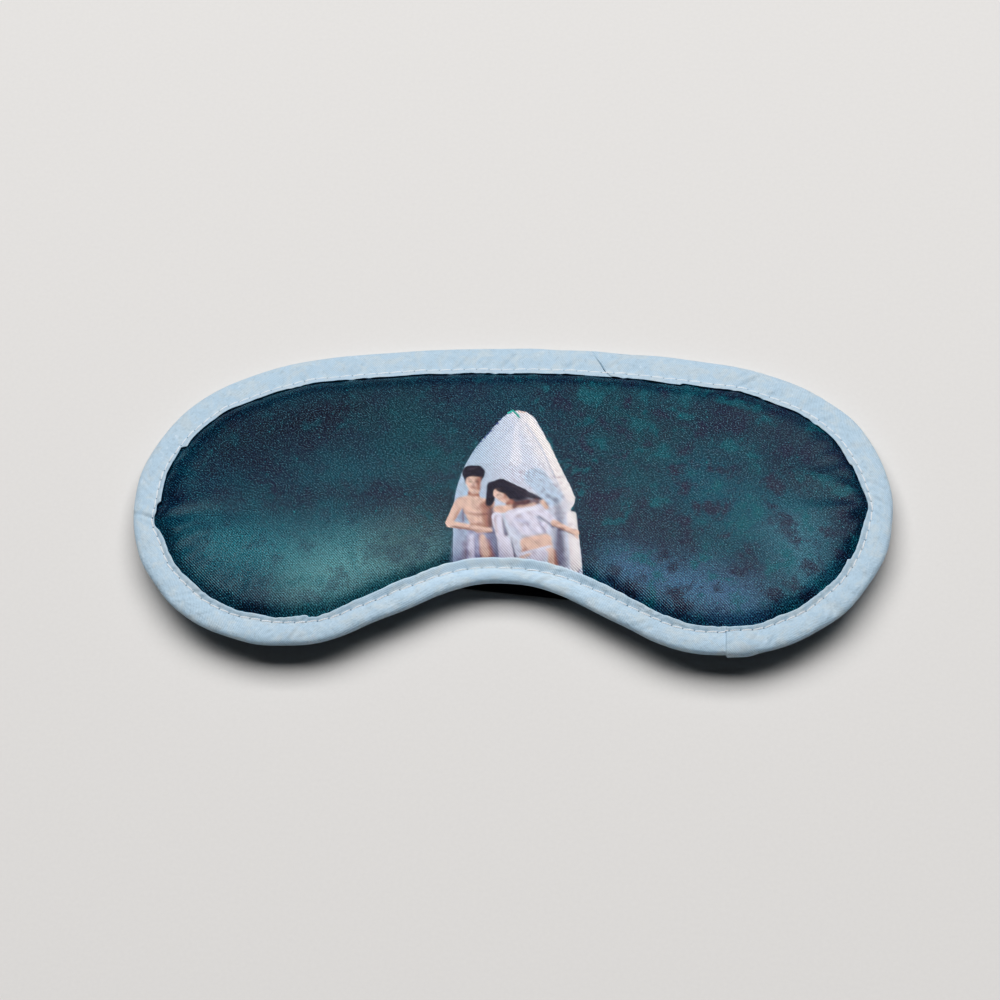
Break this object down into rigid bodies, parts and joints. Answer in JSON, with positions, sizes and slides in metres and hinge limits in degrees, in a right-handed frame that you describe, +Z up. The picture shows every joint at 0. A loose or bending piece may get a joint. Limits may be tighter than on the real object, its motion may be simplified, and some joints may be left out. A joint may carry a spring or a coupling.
{
  "type": "sleep mask",
  "caption": "Padded sleep mask with bound edge, printed satin front and elastic head strap with a sliding adjuster, lying face up.",
  "frame": {"origin": "centre of the bounding box in plan, at the level of the surface that the mask rests on", "axes": "+X across the mask towards its right end seen from the front, +Y towards the forehead edge, +Z up, out of the printed front"},
  "size_m": [0.21, 0.0978, 0.0129],
  "materials": {
    "satin_print": "printed polyester satin, dark mottled teal with a pale picture",
    "foam": "soft polyurethane foam and wadding",
    "lining": "blackout film on cloth",
    "back_cloth": "brushed black cloth",
    "bias_tape": "pale blue folded bias tape",
    "white_thread": "spun polyester thread",
    "black_elastic": "woven ribbed elastic",
    "black_thread": "black thread",
    "black_plastic": "moulded, satin gloss"
  },
  "bodies": {
    "mask": {"front_cover": "satin_print", "foam_pad": "foam", "blackout_lining": "lining", "back_cover": "back_cloth", "edge_binding_long": "bias_tape", "edge_binding_short": "bias_tape", "needle_thread": "white_thread", "bobbin_thread": "white_thread", "strap_band": "black_elastic", "strap_return": "black_elastic", "strap_ring": "black_plastic", "ring_tab": "black_elastic", "left_bar_tack": "black_thread", "right_bar_tack": "black_thread"},
    "adjuster": {"strap_adjuster": "black_plastic", "strap_end_loop": "black_elastic", "loop_stitch": "black_thread"}
  },
  "joints": [
    {"name": "adjuster_slide", "type": "slide", "parent": "mask", "child": "adjuster", "axis": [1, 0, 0], "range_m": [0, 0.024], "deforming": ["strap_return"]}
  ]
}
